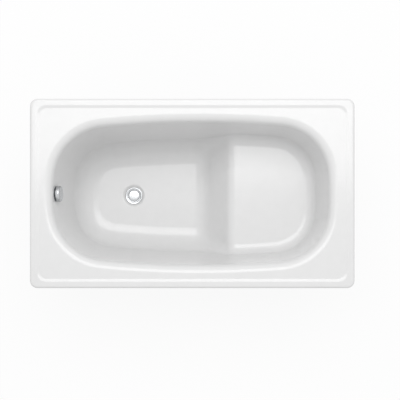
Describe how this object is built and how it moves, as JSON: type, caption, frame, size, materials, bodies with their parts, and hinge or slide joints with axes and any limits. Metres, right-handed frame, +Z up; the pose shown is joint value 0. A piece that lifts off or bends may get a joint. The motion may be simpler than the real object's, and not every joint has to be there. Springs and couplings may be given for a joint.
{
  "type": "pressed steel bathtub",
  "caption": "Short pressed steel bathtub with a moulded seat, a rounded basin, leg brackets with adjustable feet, a pop-up waste, a knob overflow and a trap.",
  "frame": {"origin": "on the floor, under the middle of the rim", "axes": "+X along the rim towards the seat end, +Z up; the overflow is at the -X end"},
  "size_m": [1.2, 0.7, 0.55],
  "materials": {
    "enamel": "gloss",
    "chrome": "polished",
    "zinc": "satin",
    "black_plastic": "matt",
    "white_plastic": "matt",
    "grey_plastic": "matt",
    "seal_rubber": "matt",
    "bitumen": "matt"
  },
  "bodies": {
    "bath": {"tub_shell": "enamel", "waste_gasket_upper": "seal_rubber", "waste_gasket_lower": "seal_rubber", "overflow_gasket": "seal_rubber", "waste_flange": "chrome", "waste_body": "white_plastic", "overflow_body": "white_plastic", "stem_guide": "grey_plastic", "lever_pin": "zinc", "overflow_carrier": "grey_plastic", "overflow_screws": "zinc", "overflow_hose": "grey_plastic", "hose_nut_upper": "white_plastic", "hose_nut_lower": "white_plastic", "pull_cable": "black_plastic", "cable_ferrule_upper": "zinc", "cable_ferrule_lower": "zinc", "trap_body": "white_plastic", "trap_seal": "seal_rubber", "trap_nut": "white_plastic", "outlet_seal": "seal_rubber", "outlet_nut": "white_plastic", "outlet_pipe": "grey_plastic", "floor_leg_bracket": "zinc", "seat_leg_bracket": "zinc", "floor_bracket_pad": "bitumen", "seat_bracket_pad": "bitumen", "floor_damping_pad": "bitumen", "seat_damping_pad": "bitumen", "upper_foot_nuts": "zinc", "lower_foot_nuts": "zinc", "earth_tag": "zinc", "earth_bolt": "zinc", "earth_nut": "zinc"},
    "knob": {"overflow_knob": "chrome", "knob_shaft": "zinc", "knob_grub_screw": "zinc"},
    "plug": {"plug_cap": "chrome", "plug_seal": "seal_rubber", "plug_stem": "zinc"},
    "lever": {"lift_lever": "grey_plastic"},
    "floor_left": {"floor_left_foot": "black_plastic", "floor_left_rod": "zinc"},
    "floor_right": {"floor_right_foot": "black_plastic", "floor_right_rod": "zinc"},
    "seat_left": {"seat_left_foot": "black_plastic", "seat_left_rod": "zinc"},
    "seat_right": {"seat_right_foot": "black_plastic", "seat_right_rod": "zinc"}
  },
  "joints": [
    {"name": "knob_turn", "type": "hinge", "parent": "bath", "child": "knob", "pos_m": [-0.51437, 0, 0.481], "axis": [0.9914, 0, 0.1305], "range_deg": [0, 80]},
    {"name": "plug_lift", "type": "slide", "parent": "bath", "child": "plug", "axis": [0, 0, 1], "range_m": [0, 0.009]},
    {"name": "lever_tilt", "type": "hinge", "parent": "bath", "child": "lever", "pos_m": [-0.247, -0.033, 0.1091], "axis": [1, 0, 0], "range_deg": [0, 15.83]},
    {"name": "floor_left_height", "type": "slide", "parent": "bath", "child": "floor_left", "axis": [0, 0, -1], "range_m": [-0.008, 0.025]},
    {"name": "floor_right_height", "type": "slide", "parent": "bath", "child": "floor_right", "axis": [0, 0, -1], "range_m": [-0.008, 0.025]},
    {"name": "seat_left_height", "type": "slide", "parent": "bath", "child": "seat_left", "axis": [0, 0, -1], "range_m": [-0.008, 0.025]},
    {"name": "seat_right_height", "type": "slide", "parent": "bath", "child": "seat_right", "axis": [0, 0, -1], "range_m": [-0.008, 0.025]}
  ],
  "couplings": [
    {"joint": "plug_lift", "follows": "knob_turn", "m_per_rad": 0.0064458},
    {"joint": "lever_tilt", "follows": "knob_turn", "ratio": 0.19783}
  ]
}
